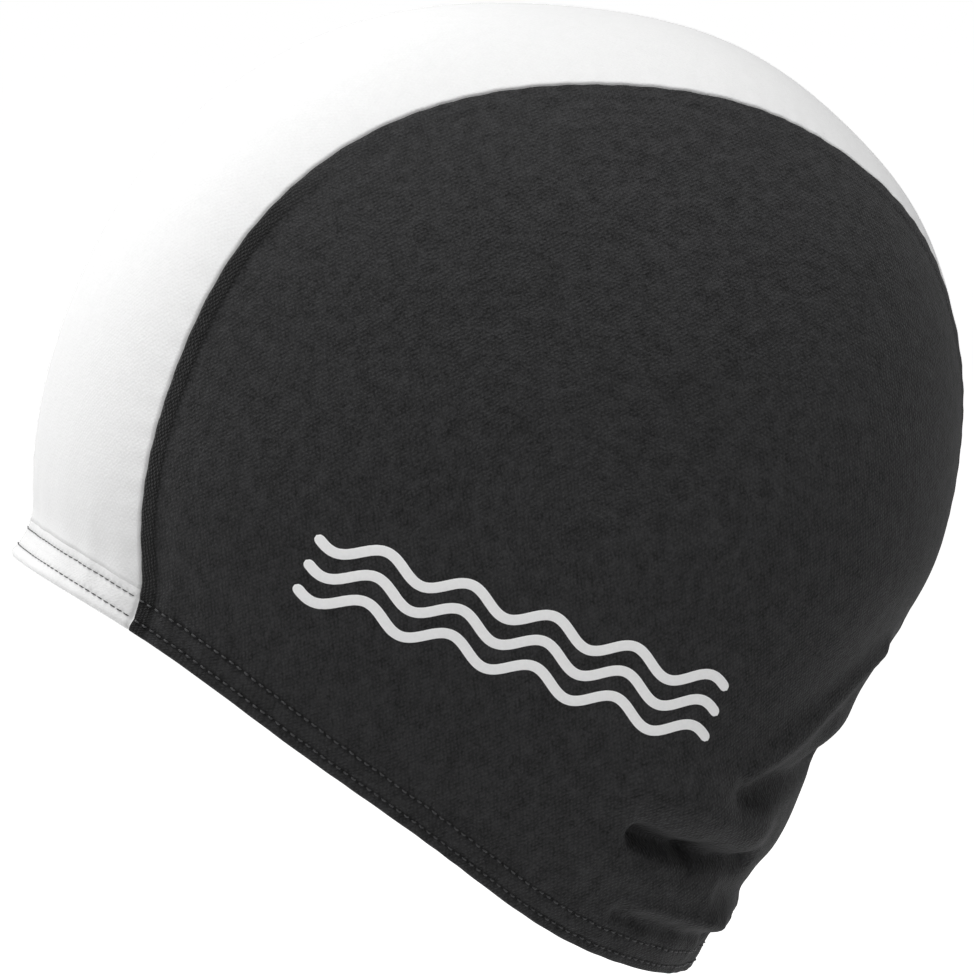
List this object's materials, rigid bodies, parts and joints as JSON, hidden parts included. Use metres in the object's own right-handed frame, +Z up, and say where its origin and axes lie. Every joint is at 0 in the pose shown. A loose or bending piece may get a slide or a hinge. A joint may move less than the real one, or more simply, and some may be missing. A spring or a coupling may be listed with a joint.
{
  "type": "fabric swim cap",
  "caption": "Stretch-knit fabric swim cap in sewn panels, with a light strip over the crown, dark sides and a stitched hem, shaped as it sits on a head.",
  "frame": {"origin": "middle of the head opening, halfway between the rim at the forehead and the rim at the nape", "axes": "+Z up, -Y toward the forehead, +X toward the wearer's left, with the cap tilted as it sits on a level head"},
  "size_m": [0.154, 0.2053, 0.2081],
  "materials": {
    "white_cloth": "matte fine knit",
    "black_cloth": "matte fine knit"
  },
  "bodies": {
    "root": {"centre_panel": "white_cloth", "left_panel": "black_cloth", "right_panel": "black_cloth", "front_hem": "white_cloth", "nape_hem": "white_cloth", "left_hem": "black_cloth", "right_hem": "black_cloth"}
  },
  "joints": []
}
